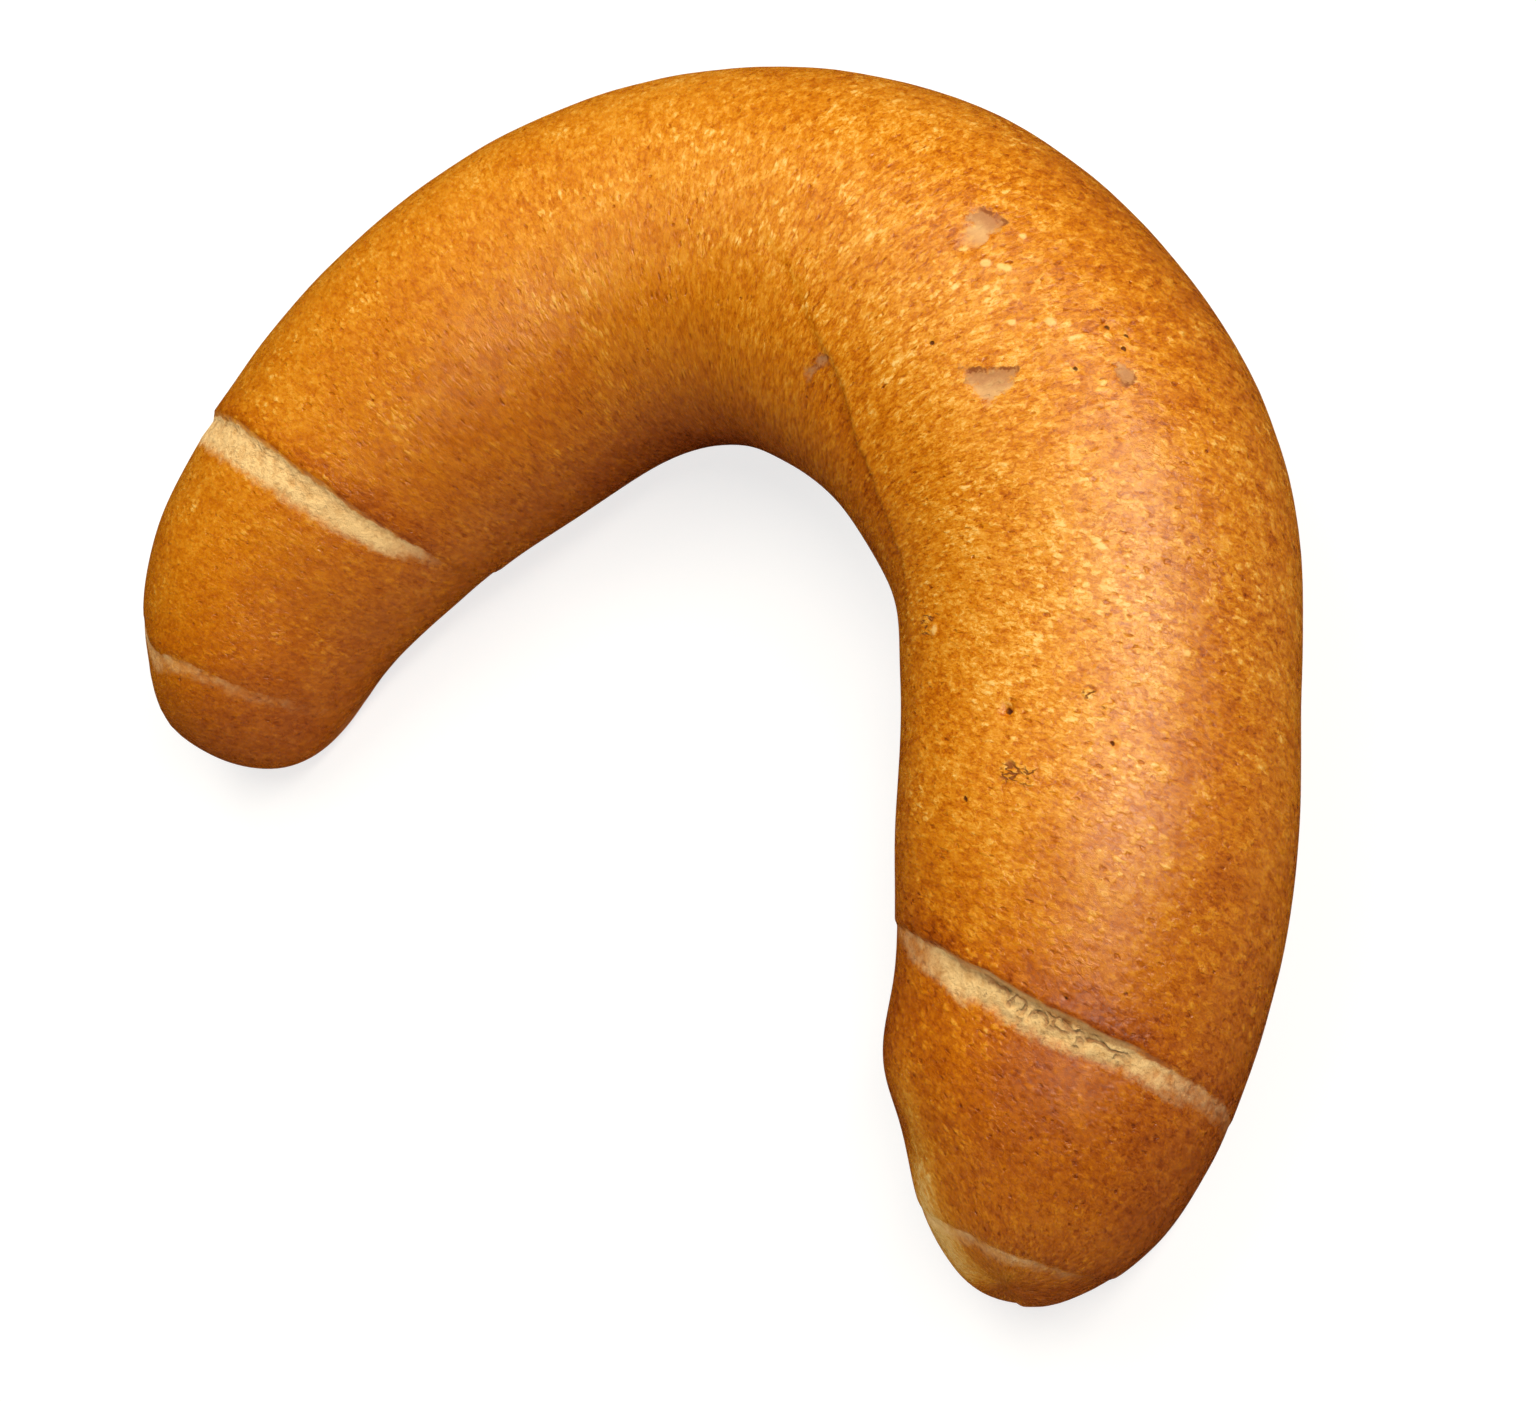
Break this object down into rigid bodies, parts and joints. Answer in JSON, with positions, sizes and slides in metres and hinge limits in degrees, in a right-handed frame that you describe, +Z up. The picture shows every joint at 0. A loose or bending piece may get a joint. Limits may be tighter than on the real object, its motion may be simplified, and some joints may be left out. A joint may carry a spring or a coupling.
{
  "type": "crescent roll",
  "caption": "Baked crescent roll: one plump, glossy-crusted horseshoe of rolled dough with a flat sole and two blunt, tapering horns.",
  "frame": {"origin": "on the surface that the roll lies on, under the middle of its bounding box", "axes": "+Y out through the crest of the bend, with both horns towards -Y; +X across the horns, from the plumper horn to the slimmer one; +Z up"},
  "size_m": [0.1492, 0.1114, 0.037],
  "materials": {
    "crust": "satin"
  },
  "bodies": {
    "root": {"crescent_roll": "crust"}
  },
  "joints": []
}
